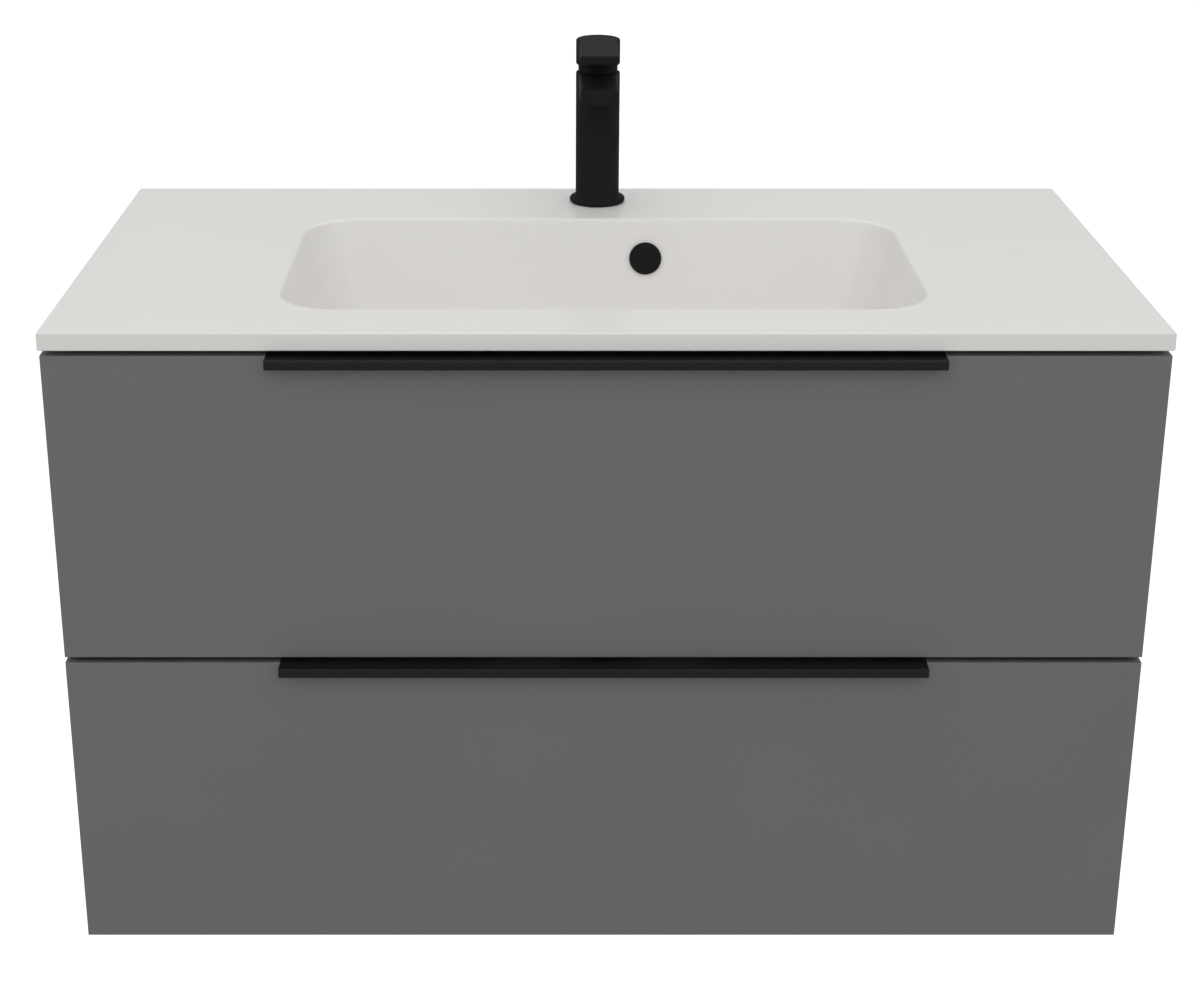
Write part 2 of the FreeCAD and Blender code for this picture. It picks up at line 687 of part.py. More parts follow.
def drawer_box(name, spec):
    low, high = spec["low"], spec["high"]
    base_z = (low + base_raise, low + base_raise + base_board)
    inner = box_half_x - box_side
    groove = 6.0
    side = box(inner, box_half_x, front_back_y, box_back_y, low, high)
    side = side.cut(box(inner, inner + groove, front_back_y, box_back_y, *base_z))
    save(name + "_drawer_side_right", side)
    save(name + "_drawer_side_left", mirrored(side))
    base = box(-inner - groove, inner + groove, front_back_y, box_back_y, *base_z)
    back_y = (box_back_y - box_side, box_back_y)
    if name == "lower":
        save("lower_drawer_base", base)
        save("lower_drawer_back", box(-inner, inner, *back_y, base_z[1], high))
        return
    save("upper_drawer_base", base.cut(box(-cutout_half_x, cutout_half_x, cutout_front_y, 0.0, *base_z)))
    wall_x = cutout_half_x + cutout_wall
    save("upper_drawer_back", pair(box(wall_x, inner, *back_y, base_z[1], high)))
    flank = box(cutout_half_x, wall_x, cutout_front_y, box_back_y, base_z[1], high)
    head = box(-wall_x, wall_x, cutout_front_y - cutout_wall, cutout_front_y, base_z[1], high)
    save("upper_cutout_walls", [pair(flank), head])


def drawer_set():
    for name, spec in drawers.items():
        save(name + "_drawer_front", drawer_front(spec))
        save(name + "_handle", handle(spec))
        save(name + "_handle_screws", handle_fixings(spec))
        drawer_box(name, spec)


os.makedirs("parts", exist_ok=True)
carcass()
front_buffers()
wall_hanging()
basin_top()
tap_fixed()
tap_moving()
waste()
trap()
runners()
drawer_set()
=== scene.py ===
import json
import math

import bmesh
import bpy
import numpy as np
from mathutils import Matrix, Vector

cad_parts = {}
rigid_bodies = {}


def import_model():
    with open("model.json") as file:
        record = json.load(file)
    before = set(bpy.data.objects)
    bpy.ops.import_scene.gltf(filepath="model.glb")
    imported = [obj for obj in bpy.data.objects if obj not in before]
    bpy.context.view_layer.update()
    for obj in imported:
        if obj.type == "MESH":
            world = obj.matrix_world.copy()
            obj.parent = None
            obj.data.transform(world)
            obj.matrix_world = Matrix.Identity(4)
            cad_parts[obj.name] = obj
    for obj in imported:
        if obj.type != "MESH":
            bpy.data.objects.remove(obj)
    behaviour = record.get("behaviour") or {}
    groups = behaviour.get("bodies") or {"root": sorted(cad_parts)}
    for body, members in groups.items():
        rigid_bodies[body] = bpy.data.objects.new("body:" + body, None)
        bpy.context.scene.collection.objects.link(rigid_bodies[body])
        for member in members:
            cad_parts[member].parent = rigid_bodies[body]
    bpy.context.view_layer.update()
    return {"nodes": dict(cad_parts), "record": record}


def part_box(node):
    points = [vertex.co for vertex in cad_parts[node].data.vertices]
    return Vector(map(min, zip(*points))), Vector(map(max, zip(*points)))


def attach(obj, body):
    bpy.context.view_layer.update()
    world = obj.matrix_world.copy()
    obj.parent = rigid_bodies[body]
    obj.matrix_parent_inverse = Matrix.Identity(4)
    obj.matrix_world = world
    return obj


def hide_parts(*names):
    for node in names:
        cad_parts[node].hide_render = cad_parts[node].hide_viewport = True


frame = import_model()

nodes = frame["nodes"]
mm = 0.001
slotOf = {entry["node"]: entry["material_slot"] for entry in frame["record"]["subparts"]}


def hexLinear(code):
    parts = [int(code[k:k + 2], 16) / 255 for k in (1, 3, 5)]
    linear = [p / 12.92 if p <= 0.04045 else ((p + 0.055) / 1.055) ** 2.4 for p in parts]
    return (*linear, 1.0)


def perMm(size):
    return 1 / (size * mm)  # texture scale that gives features about this many millimetres across


def addNode(tree, kind, settings=None, links=None):
    # a link may come from a socket, or from a node's first output
    node = tree.nodes.new(kind)
    settings = dict(settings or {})
    stops = settings.pop("stops", [])
    while len(stops) > 2 and len(node.color_ramp.elements) < len(stops):
        node.color_ramp.elements.new(0.5)
    for k, (at, value) in enumerate(stops):
        node.color_ramp.elements[k].position = at
        node.color_ramp.elements[k].color = hexLinear(value) if isinstance(value, str) else (value, value, value, 1)
    for key, value in settings.items():
        if isinstance(key, int) or key in node.inputs:
            node.inputs[key].default_value = value
        else:
            setattr(node, key, value)
    for key, source in (links or {}).items():
        tree.links.new(source.outputs[0] if isinstance(source, bpy.types.Node) else source, node.inputs[key])
    return node


def newMaterial(name, color, **sockets):
    material = bpy.data.materials.new(name)
    material.use_nodes = True
    tree = material.node_tree
    shader = tree.nodes["Principled BSDF"]
    shader.inputs["Base Color"].default_value = hexLinear(color)
    for key, value in sockets.items():
        shader.inputs[key.replace("_", " ")].default_value = value
    place = addNode(tree, "ShaderNodeTexCoord").outputs["Object"]  # metres, so scales below are real sizes
    return material, tree, shader, place


def dress(tree, shader, looks):
    # gives the shader's sockets the nodes that drive them
    for key, node in looks.items():
        tree.links.new(node.outputs[0], shader.inputs[key])


# materials, one for each finish on the object

def mattLacquer():
    # matt polyurethane lacquer, sprayed on fibreboard: one even grey, faint orange peel, wide soft sheen
    look = {"low": "#72706f", "high": "#737170", "roughness": 0.5, "cloudMm": 160, "peelMm": 1.4, "peelDeep": 0.012}
    material, tree, shader, place = newMaterial("mattLacquer", look["low"], Roughness=look["roughness"], IOR=1.5)
    cloud = addNode(tree, "ShaderNodeTexNoise", {"Scale": perMm(look["cloudMm"])}, {"Vector": place})
    stops = [(0.35, look["low"]), (0.65, look["high"])]
    tint = addNode(tree, "ShaderNodeValToRGB", {"stops": stops}, {"Fac": cloud})
    peel = addNode(tree, "ShaderNodeTexNoise", {"Scale": perMm(look["peelMm"]), "Detail": 3.0}, {"Vector": place})
    skin = addNode(tree, "ShaderNodeBump", {"Distance": look["peelDeep"] * mm}, {"Height": peel})
    dress(tree, shader, {"Base Color": tint, "Normal": skin})
    return material


def greyMelamine():
    # melamine paper pressed on chipboard under a pearl plate: even colour, fine grain you feel more than see;
    # the real grain is about 0.3 mm across and is drawn coarser, so that it shows
    look = {"low": "#6b6968", "high": "#6f6d6c", "roughness": 0.55, "pearlMm": 0.9, "pearlDeep": 0.03}
    material, tree, shader, place = newMaterial("greyMelamine", look["low"], Roughness=look["roughness"], IOR=1.5)
    pearl = addNode(tree, "ShaderNodeTexNoise", {"Scale": perMm(look["pearlMm"])}, {"Vector": place})
    tint = addNode(tree, "ShaderNodeValToRGB", {"stops": [(0.4, look["low"]), (0.6, look["high"])]}, {"Fac": pearl})
    skin = addNode(tree, "ShaderNodeBump", {"Distance": look["pearlDeep"] * mm}, {"Height": pearl})
    dress(tree, shader, {"Base Color": tint, "Normal": skin})
    return material


def drawerMelamine():
    # light grey melamine board of the drawer boxes, linen embossed: tiny crossed threads catch the light;
    # real threads are about 0.5 mm wide and are drawn coarser, so that they show
    look = {"low": "#aaaaa8", "high": "#b2b2b0", "roughness": 0.5, "threadMm": 1.2, "threadDeep": 0.03,
            "threadDraw": 0.12}
    material, tree, shader, place = newMaterial("drawerMelamine", look["low"], Roughness=look["roughness"], IOR=1.5)
    draw = look["threadDraw"]
    threads = []
    for scale in ((1, draw, 1), (draw, 1, draw)):
        drawn = addNode(tree, "ShaderNodeMapping", {"Scale": scale}, {"Vector": place})
        threads.append(addNode(tree, "ShaderNodeTexNoise", {"Scale": perMm(look["threadMm"])}, {"Vector": drawn}))
    linen = addNode(tree, "ShaderNodeMath", {"operation": "ADD"}, dict(enumerate(threads)))
    stops = [(0.35, look["low"]), (0.65, look["high"])]
    tint = addNode(tree, "ShaderNodeValToRGB", {"stops": stops}, {"Fac": threads[0]})
    skin = addNode(tree, "ShaderNodeBump", {"Distance": look["threadDeep"] * mm}, {"Height": linen})
    dress(tree, shader, {"Base Color": tint, "Normal": skin})
    return material


def castMineral():
    # polyester and marble dust cast in a mould behind a sprayed gel coat: satin white, very slightly deep
    look = {"low": "#ebe9e6", "high": "#eceae7", "roughness": 0.38, "cloudMm": 90, "waveMm": 14, "waveDeep": 0.01,
            "coat": 0.15, "coatRoughness": 0.25}
    material, tree, shader, place = newMaterial(
        "castMineral", look["low"], Roughness=look["roughness"], IOR=1.52, Coat_Weight=look["coat"],
        Coat_Roughness=look["coatRoughness"])
    cloud = addNode(tree, "ShaderNodeTexNoise", {"Scale": perMm(look["cloudMm"])}, {"Vector": place})
    stops = [(0.35, look["low"]), (0.65, look["high"])]
    tint = addNode(tree, "ShaderNodeValToRGB", {"stops": stops}, {"Fac": cloud})
    wave = addNode(tree, "ShaderNodeTexNoise", {"Scale": perMm(look["waveMm"])}, {"Vector": place})
    skin = addNode(tree, "ShaderNodeBump", {"Distance": look["waveDeep"] * mm}, {"Height": wave})
    dress(tree, shader, {"Base Color": tint, "Normal": skin})
    return material


def blackAnodised():
    # extruded aluminium, fine-brushed along its length and anodised black: drawn-out lines, satin metal sheen;
    # real brushing is under 0.1 mm wide and is drawn coarser, so that it shows
    look = {"color": "#1d1d1e", "roughLow": 0.45, "roughHigh": 0.55, "lineMm": 0.5, "lineDeep": 0.006,
            "metallic": 0.4, "gloss": 0.35, "lineDraw": 0.01}
    material, tree, shader, place = newMaterial("blackAnodised", look["color"], Metallic=look["metallic"],
                                                Specular_IOR_Level=look["gloss"])
    drawn = addNode(tree, "ShaderNodeMapping", {"Scale": (look["lineDraw"], 1, 1)}, {"Vector": place})
    lines = addNode(tree, "ShaderNodeTexNoise", {"Scale": perMm(look["lineMm"])}, {"Vector": drawn})
    stops = [(0.3, look["roughLow"]), (0.7, look["roughHigh"])]
    rough = addNode(tree, "ShaderNodeValToRGB", {"stops": stops}, {"Fac": lines})
    skin = addNode(tree, "ShaderNodeBump", {"Distance": look["lineDeep"] * mm}, {"Height": lines})
    dress(tree, shader, {"Roughness": rough, "Normal": skin})
    return material


def blackCoatedBrass(name, color, roughness):
    # brass casting under matt black electro-coat: dark, hardly metallic, tiny grain that softens every highlight;
    # the real grain is about 0.1 mm across and is drawn coarser, so that it shows
    look = {"grainMm": 0.45, "grainDeep": 0.01, "spread": 0.04, "gloss": 0.02}
    material, tree, shader, place = newMaterial(name, color, Roughness=roughness, IOR=1.5,
                                                Specular_IOR_Level=look["gloss"])
    grain = addNode(tree, "ShaderNodeTexNoise", {"Scale": perMm(look["grainMm"])}, {"Vector": place})
    stops = [(0.3, roughness - look["spread"]), (0.7, roughness + look["spread"])]
    rough = addNode(tree, "ShaderNodeValToRGB", {"stops": stops}, {"Fac": grain})
    skin = addNode(tree, "ShaderNodeBump", {"Distance": look["grainDeep"] * mm}, {"Height": grain})
    dress(tree, shader, {"Roughness": rough, "Normal": skin})
    return material


def turnedBrass():
    # bare brass bar turned on a lathe: close rings around the axis, warm bright metal;
    # real rings are about 0.1 mm apart and are drawn coarser, so that they show
    look = {"color": "#c9a35a", "roughness": 0.28, "ringMm": 0.6, "ringDeep": 0.015, "ringDraw": 0.05}
    material, tree, shader, place = newMaterial("turnedBrass", look["color"], Metallic=1.0,
                                                Roughness=look["roughness"])
    draw = look["ringDraw"]
    drawn = addNode(tree, "ShaderNodeMapping", {"Scale": (draw, draw, 1)}, {"Vector": place})
    rings = addNode(tree, "ShaderNodeTexNoise", {"Scale": perMm(look["ringMm"])}, {"Vector": drawn})
    skin = addNode(tree, "ShaderNodeBump", {"Distance": look["ringDeep"] * mm}, {"Height": rings})
    dress(tree, shader, {"Normal": skin})
    return material


def zincSteel():
    # rolled steel, bright zinc plated: cool grey with soft patches where the plating took differently;
    # real rolling lines are under 0.1 mm wide and are drawn coarser, so that they show
    look = {"low": "#aeb0b3", "high": "#b7b9bc", "roughLow": 0.34, "roughHigh": 0.4, "patchMm": 16, "grainMm": 0.6,
            "grainDeep": 0.008, "grainDraw": 0.08}
    material, tree, shader, place = newMaterial("zincSteel", look["low"], Metallic=1.0)
    patches = addNode(tree, "ShaderNodeTexNoise", {"Scale": perMm(look["patchMm"]), "Detail": 3.0}, {"Vector": place})
    stops = [(0.35, look["low"]), (0.65, look["high"])]
    tint = addNode(tree, "ShaderNodeValToRGB", {"stops": stops}, {"Fac": patches})
    stops = [(0.3, look["roughLow"]), (0.7, look["roughHigh"])]
    rough = addNode(tree, "ShaderNodeValToRGB", {"stops": stops}, {"Fac": patches})
    drawn = addNode(tree, "ShaderNodeMapping", {"Scale": (1, look["grainDraw"], 1)}, {"Vector": place})
    grain = addNode(tree, "ShaderNodeTexNoise", {"Scale": perMm(look["grainMm"])}, {"Vector": drawn})
    skin = addNode(tree, "ShaderNodeBump", {"Distance": look["grainDeep"] * mm}, {"Height": grain})
    dress(tree, shader, {"Base Color": tint, "Roughness": rough, "Normal": skin})
    return material


def beechWood():
    # fluted beech pin: pale pink-brown with short darker flecks along the grain
    look = {"low": "#b58c62", "high": "#caa47a", "roughness": 0.65, "fleckMm": 1.2, "fleckDeep": 0.02,
            "fleckDraw": 0.15}
    material, tree, shader, place = newMaterial("beechWood", look["low"], Roughness=look["roughness"])
    drawn = addNode(tree, "ShaderNodeMapping", {"Scale": (look["fleckDraw"], 1, 1)}, {"Vector": place})
    flecks = addNode(tree, "ShaderNodeTexNoise", {"Scale": perMm(look["fleckMm"]), "Detail": 3.0}, {"Vector": drawn})
    tint = addNode(tree, "ShaderNodeValToRGB", {"stops": [(0.4, look["low"]), (0.6, look["high"])]}, {"Fac": flecks})
    skin = addNode(tree, "ShaderNodeBump", {"Distance": look["fleckDeep"] * mm}, {"Height": flecks})
    dress(tree, shader, {"Base Color": tint, "Normal": skin})
    return material


def mouldedPlastic(name, low, high, roughness, grainMm):
    # injection-moulded plastic from a spark-finished tool: even colour, soft grain, low gloss;
    # the real grain is about 0.1 mm across and is drawn coarser, so that it shows
    look = {"grainDeep": 0.012}
    material, tree, shader, place = newMaterial(name, low, Roughness=roughness, IOR=1.49)
    grain = addNode(tree, "ShaderNodeTexNoise", {"Scale": perMm(grainMm)}, {"Vector": place})
    tint = addNode(tree, "ShaderNodeValToRGB", {"stops": [(0.35, low), (0.65, high)]}, {"Fac": grain})
    skin = addNode(tree, "ShaderNodeBump", {"Distance": look["grainDeep"] * mm}, {"Height": grain})
    dress(tree, shader, {"Base Color": tint, "Normal": skin})
    return material


def blackRubber():
    # moulded EPDM rubber: dull near-black with a dusty bloom
    look = {"low": "#1b1b1b", "high": "#262625", "roughness": 0.75, "bloomMm": 4}
    material, tree, shader, place = newMaterial("blackRubber", look["low"], Roughness=look["roughness"])
    bloom = addNode(tree, "ShaderNodeTexNoise", {"Scale": perMm(look["bloomMm"])}, {"Vector": place})
    stops = [(0.35, look["low"]), (0.65, look["high"])]
    dress(tree, shader, {"Base Color": addNode(tree, "ShaderNodeValToRGB", {"stops": stops}, {"Fac": bloom})})
    return material


def clearPad():
    # cast polyurethane dot: clear going slightly milky, soft skin
    look = {"color": "#dededa", "roughness": 0.3, "clear": 0.6, "dimpleMm": 1.5, "dimpleDeep": 0.01}
    material, tree, shader, place = newMaterial("clearPad", look["color"], Roughness=look["roughness"], IOR=1.47,
                                                Transmission_Weight=look["clear"])
    dimples = addNode(tree, "ShaderNodeTexNoise", {"Scale": perMm(look["dimpleMm"])}, {"Vector": place})
    skin = addNode(tree, "ShaderNodeBump", {"Distance": look["dimpleDeep"] * mm}, {"Height": dimples})
    dress(tree, shader, {"Normal": skin})
    return material


def rawChipboard():
    # sawn chipboard edge: pressed chips of mixed tan and brown, open pores between them
    look = {"dark": "#7d623f", "mid": "#a88a5f", "pale": "#c7ad82", "chipMm": 3.2, "roughness": 0.85,
            "chipDraw": (0.6, 0.6, 1.4), "poreDeep": 0.15}
    material, tree, shader, place = newMaterial("rawChipboard", look["mid"], Roughness=look["roughness"])
    drawn = addNode(tree, "ShaderNodeMapping", {"Scale": look["chipDraw"]}, {"Vector": place})
    chips = addNode(tree, "ShaderNodeTexVoronoi", {"Scale": perMm(look["chipMm"])}, {"Vector": drawn})
    split = addNode(tree, "ShaderNodeSeparateColor", links={"Color": chips.outputs["Color"]})
    stops = [(0.1, look["dark"]), (0.5, look["mid"]), (0.9, look["pale"])]
    tint = addNode(tree, "ShaderNodeValToRGB", {"stops": stops}, {"Fac": split})
    skin = addNode(tree, "ShaderNodeBump", {"Distance": look["poreDeep"] * mm}, {"Height": chips})
    dress(tree, shader, {"Base Color": tint, "Normal": skin})
    return material


finishes = {
    "grey_front": mattLacquer(),
    "grey_board": greyMelamine(),
    "drawer_board": drawerMelamine(),
    "cast_white": castMineral(),
    "black_aluminium": blackAnodised(),
    "black_brass": blackCoatedBrass("blackCoatedBrass", "#232323", 0.5),
    "black_trim": blackCoatedBrass("blackTrimCoat", "#212121", 0.5),
    "bare_brass": turnedBrass(),
    "zinc_steel": zincSteel(),
    "beech": beechWood(),
    "white_plastic": mouldedPlastic("whitePolypropylene", "#dedfdc", "#e6e6e3", 0.4, 0.9),
    "grey_plastic": mouldedPlastic("greyAcetal", "#7b7e80", "#85888a", 0.42, 0.7),
    "rubber": blackRubber(),
    "clear_pad": clearPad(),
}
chipboard = rawChipboard()
for nodeName, node in nodes.items():
    node.data.materials.clear()
    node.data.materials.append(finishes[slotOf[nodeName]])
print("materials made:", len(bpy.data.materials))


def placePiece(name, mesh):
    piece = bpy.data.objects.new(name, mesh)
    bpy.context.scene.collection.objects.link(piece)
    return piece


def placeMesh(name, verts, faces, nodeName):
    # a piece in the finish of the CAD node it stands for
    mesh = bpy.data.meshes.new(name)
    mesh.from_pydata([tuple(v) for v in verts], [], faces)
    mesh.validate()
    mesh.materials.append(finishes[slotOf[nodeName]])
    mesh.shade_smooth()
    return placePiece(name, mesh)


def standsFor(piece, nodeName):
    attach(piece, nodes[nodeName].parent.name.removeprefix("body:"))
    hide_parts(nodeName)
    return piece


def roundedLoop(halfX, halfY, corner, centre, perCorner=14, perLong=26, perShort=12):
    # points round a rounded rectangle, always the same count, so that loops of any size can be skinned together
    points = []
    corners = ((1, 1, 0), (-1, 1, 90), (-1, -1, 180), (1, -1, 270))
    for k, (sx, sy, start) in enumerate(corners):
        for j in range(perCorner + 1):
            a = math.radians(start + 90 * j / perCorner)
            points.append((sx * (halfX - corner) + corner * math.cos(a), sy * (halfY - corner) + corner * math.sin(a)))
        nextX, nextY, nextStart = corners[(k + 1) % 4]
        a = math.radians(nextStart)
        endX = nextX * (halfX - corner) + corner * math.cos(a)
        endY = nextY * (halfY - corner) + corner * math.sin(a)
        count = perShort if k % 2 else perLong
        x, y = points[-1]
        points += [(x + (endX - x) * j / count, y + (endY - y) * j / count) for j in range(1, count)]
    return [(centre[0] + x, centre[1] + y) for x, y in points]


def roundLoop(like, halfX, halfY, radius, centre):
    # a circle whose points sit opposite those of a rounded rectangle of this half size
    points = []
    for x, y in like:
        a = math.atan2((y - centre[1]) / halfY, (x - centre[0]) / halfX)
        points.append((centre[0] + radius * math.cos(a), centre[1] + radius * math.sin(a)))
    return points


def skinLoops(loops, around):
    verts = [v for loop in loops for v in loop]
    n = len(loops[0])
    faces = []
    for k in range(len(loops) if around else len(loops) - 1):
        a, b = k * n, (k + 1) % len(loops) * n
        faces += [(a + j, a + (j + 1) % n, b + (j + 1) % n, b + j) for j in range(n)]
    return verts, faces


def lathe(profile, sides, centre=(0, 0)):
    # profile of (radius, height) turned about an upright axis; the ends close where the radius is zero
    loops = []
    for radius, height in profile:
        turn = [2 * math.pi * j / sides for j in range(sides)]
        loops.append([(centre[0] + radius * math.cos(a), centre[1] + radius * math.sin(a), height) for a in turn])
    return skinLoops(loops, False)


def scaled(verts):
    return [(x * mm, y * mm, z * mm) for x, y, z in verts]


def blended(start, end, t):
    return [(a[0] + (b[0] - a[0]) * t, a[1] + (b[1] - a[1]) * t) for a, b in zip(start, end)]


def mergeMesh(mesh, roundMm=0.0, mergeDist=1e-7, segments=4):
    # joins doubled points, turns every face outwards and rounds the edges when asked
    work = bmesh.new()
    work.from_mesh(mesh)
    bmesh.ops.remove_doubles(work, verts=work.verts, dist=mergeDist)
    bmesh.ops.recalc_face_normals(work, faces=work.faces)
    if roundMm:
        bmesh.ops.bevel(work, geom=work.edges[:], offset=roundMm * mm, segments=segments, profile=0.5,
                        affect="EDGES")
    work.to_mesh(mesh)
    work.free()


def carve(piece, verts, faces, roundMm=0.0, operation="DIFFERENCE"):
    mesh = bpy.data.meshes.new("cutter")
    mesh.from_pydata([tuple(v) for v in verts], [], faces)
    mesh.validate()
    mergeMesh(mesh, roundMm)
    cutter = bpy.data.objects.new("cutter", mesh)
    bpy.context.scene.collection.objects.link(cutter)
    cut = piece.modifiers.new("cut", "BOOLEAN")
    cut.object = cutter
    cut.operation = operation
    cut.solver = "EXACT"
    graph = bpy.context.evaluated_depsgraph_get()
    mesh = bpy.data.meshes.new_from_object(piece.evaluated_get(graph))
    piece.modifiers.remove(cut)
    piece.data = mesh
    bpy.data.objects.remove(cutter)


def blockCorners(low, high, place):
    verts = [place(x, y, z) for x in (low[0], high[0]) for y in (low[1], high[1]) for z in (low[2], high[2])]
    return verts, [(0, 1, 3, 2), (4, 6, 7, 5), (0, 4, 5, 1), (2, 3, 7, 6), (0, 2, 6, 4), (1, 5, 7, 3)]


def soften(piece, angle):
    piece.data.shade_smooth()
    piece.data.set_sharp_from_angle(angle=math.radians(angle))
    piece.modifiers.new("evenFaces", "WEIGHTED_NORMAL").keep_sharp = True


# distance fields: millimetres to the surface, less than zero inside

def rodField(rho, z, radius, z0, z1, edge):
    dr = rho - radius + edge
    dz = np.abs(z - (z0 + z1) / 2) - (z1 - z0) / 2 + edge
    return np.hypot(np.maximum(dr, 0), np.maximum(dz, 0)) + np.minimum(np.maximum(dr, dz), 0) - edge


def blockField(x, y, z, low, high, edge):
    parts = []
    for value, a, b in zip((x, y, z), low, high):
        parts.append(np.abs(value - (a + b) / 2) - (b - a) / 2 + edge)
    outside = np.sqrt(sum(np.maximum(p, 0) ** 2 for p in parts))
    return outside + np.minimum(np.maximum(np.maximum(parts[0], parts[1]), parts[2]), 0) - edge


def join(a, b, blend):
    h = np.clip(0.5 + 0.5 * (b - a) / blend, 0, 1)
    return b + (a - b) * h - blend * h * (1 - h)


def less(a, b, blend):
    return -join(-a, b, blend)


def skinField(field, low, high, step):
    # surface nets: one vertex in every grid cell the surface crosses, one quad across every grid edge it cuts;
    # the grid reaches past the box on every side, so that the surface closes
    axes = [np.arange(a - 1.5 * step, b + 2.5 * step, step) for a, b in zip(low, high)]
    values = field(*np.meshgrid(*axes, indexing="ij"))
    inside = values < 0
    shape = [n - 1 for n in values.shape]
    corners = [(i, j, k) for i in (0, 1) for j in (0, 1) for k in (0, 1)]
    count = sum(inside[i:i + shape[0], j:j + shape[1], k:k + shape[2]].astype(np.int8) for i, j, k in corners)
    cells = np.argwhere((count > 0) & (count < 8))
    total = np.zeros((len(cells), 3))
    hits = np.zeros((len(cells), 1))
    for a in corners:
        for axis in range(3):
            if a[axis]:
                continue
            b = tuple(v + (1 if k == axis else 0) for k, v in enumerate(a))
            va = values[tuple((cells + a).T)]
            vb = values[tuple((cells + b).T)]
            crossed = (va < 0) != (vb < 0)
            t = np.where(crossed, va / np.where(crossed, va - vb, 1), 0)
            point = np.array(a, float) + np.outer(t, np.eye(3)[axis])
            total += point * crossed[:, None]
            hits += crossed[:, None]
    verts = (cells + total / hits) * step + np.array([axis[0] for axis in axes])
    number = np.full(shape, -1)
    number[tuple(cells.T)] = np.arange(len(cells))
    faces = []
    for axis in range(3):
        u, v = [k for k in range(3) if k != axis]
        if axis == 1:
            u, v = v, u
        ahead = np.roll(inside, -1, axis)
        edges = np.argwhere(inside != ahead)
        room = np.all((edges > 0) & (edges < np.array(shape)), axis=1)
        edges = edges[room]
        back = []
        for du, dv in ((0, 0), (1, 0), (1, 1), (0, 1)):
            cell = edges.copy()
            cell[:, u] -= du
            cell[:, v] -= dv
            back.append(number[tuple(cell.T)])
        quads = np.stack(back, axis=1)
        flip = ~inside[tuple(edges.T)]
        quads[flip] = quads[flip][:, ::-1]
        faces.append(quads)
    faces = np.concatenate(faces)
    faces = faces[np.all(faces >= 0, axis=1)]
    return verts, faces.tolist()


# basin top: slab edge, rim, leaning wall, floor and drain drawn as one run of loops, then the underside

basin = {"bowlHalfX": 270, "bowlHalfY": 140, "bowlY": -256, "corner": 50, "lean": 15, "depth": 105, "rimRound": 3.0,
         "floorRound": 38, "floorCorner": 26, "wall": 12, "shellCorner": 30, "slab": 15, "slabCorner": 0.9,
         "edgeRound": 1.5, "lowEdge": 0.6, "fall": 4, "recessR": 32.5, "recessDeep": 3.5, "boreR": 22.5, "bossR": 36,
         "bossLow": -78, "bossFlare": 5, "bossEase": 2, "boreEase": 1, "recessEase": 0.3, "shellEase": (1.2, 1.5),
         "rimSteps": 6, "wallSteps": 8, "roundSteps": 12, "floorSteps": 18, "underSteps": 6}
duct = {"x": 44, "drop": 37, "holeR": 11, "holeFrom": -12, "holeTo": 13, "footY": -129,
        "backHousing": ((-22, 6, -134), (22, 31, -17)), "backRoom": ((-15, 12, -127), (15, 23, -24)),
        "backRound": 3.0, "floorHousing": (18, 12, -78, -53), "floorRoom": (11, 4, -72, -60), "floorRound": 2.0,
        "floorGap": 30, "tapY": -50, "tapHoleR": 17.5, "tapHoleZ": (40, 65), "sides": 64}
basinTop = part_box("basin_top")[1].z / mm  # measured once, because every point of the overflow needs it


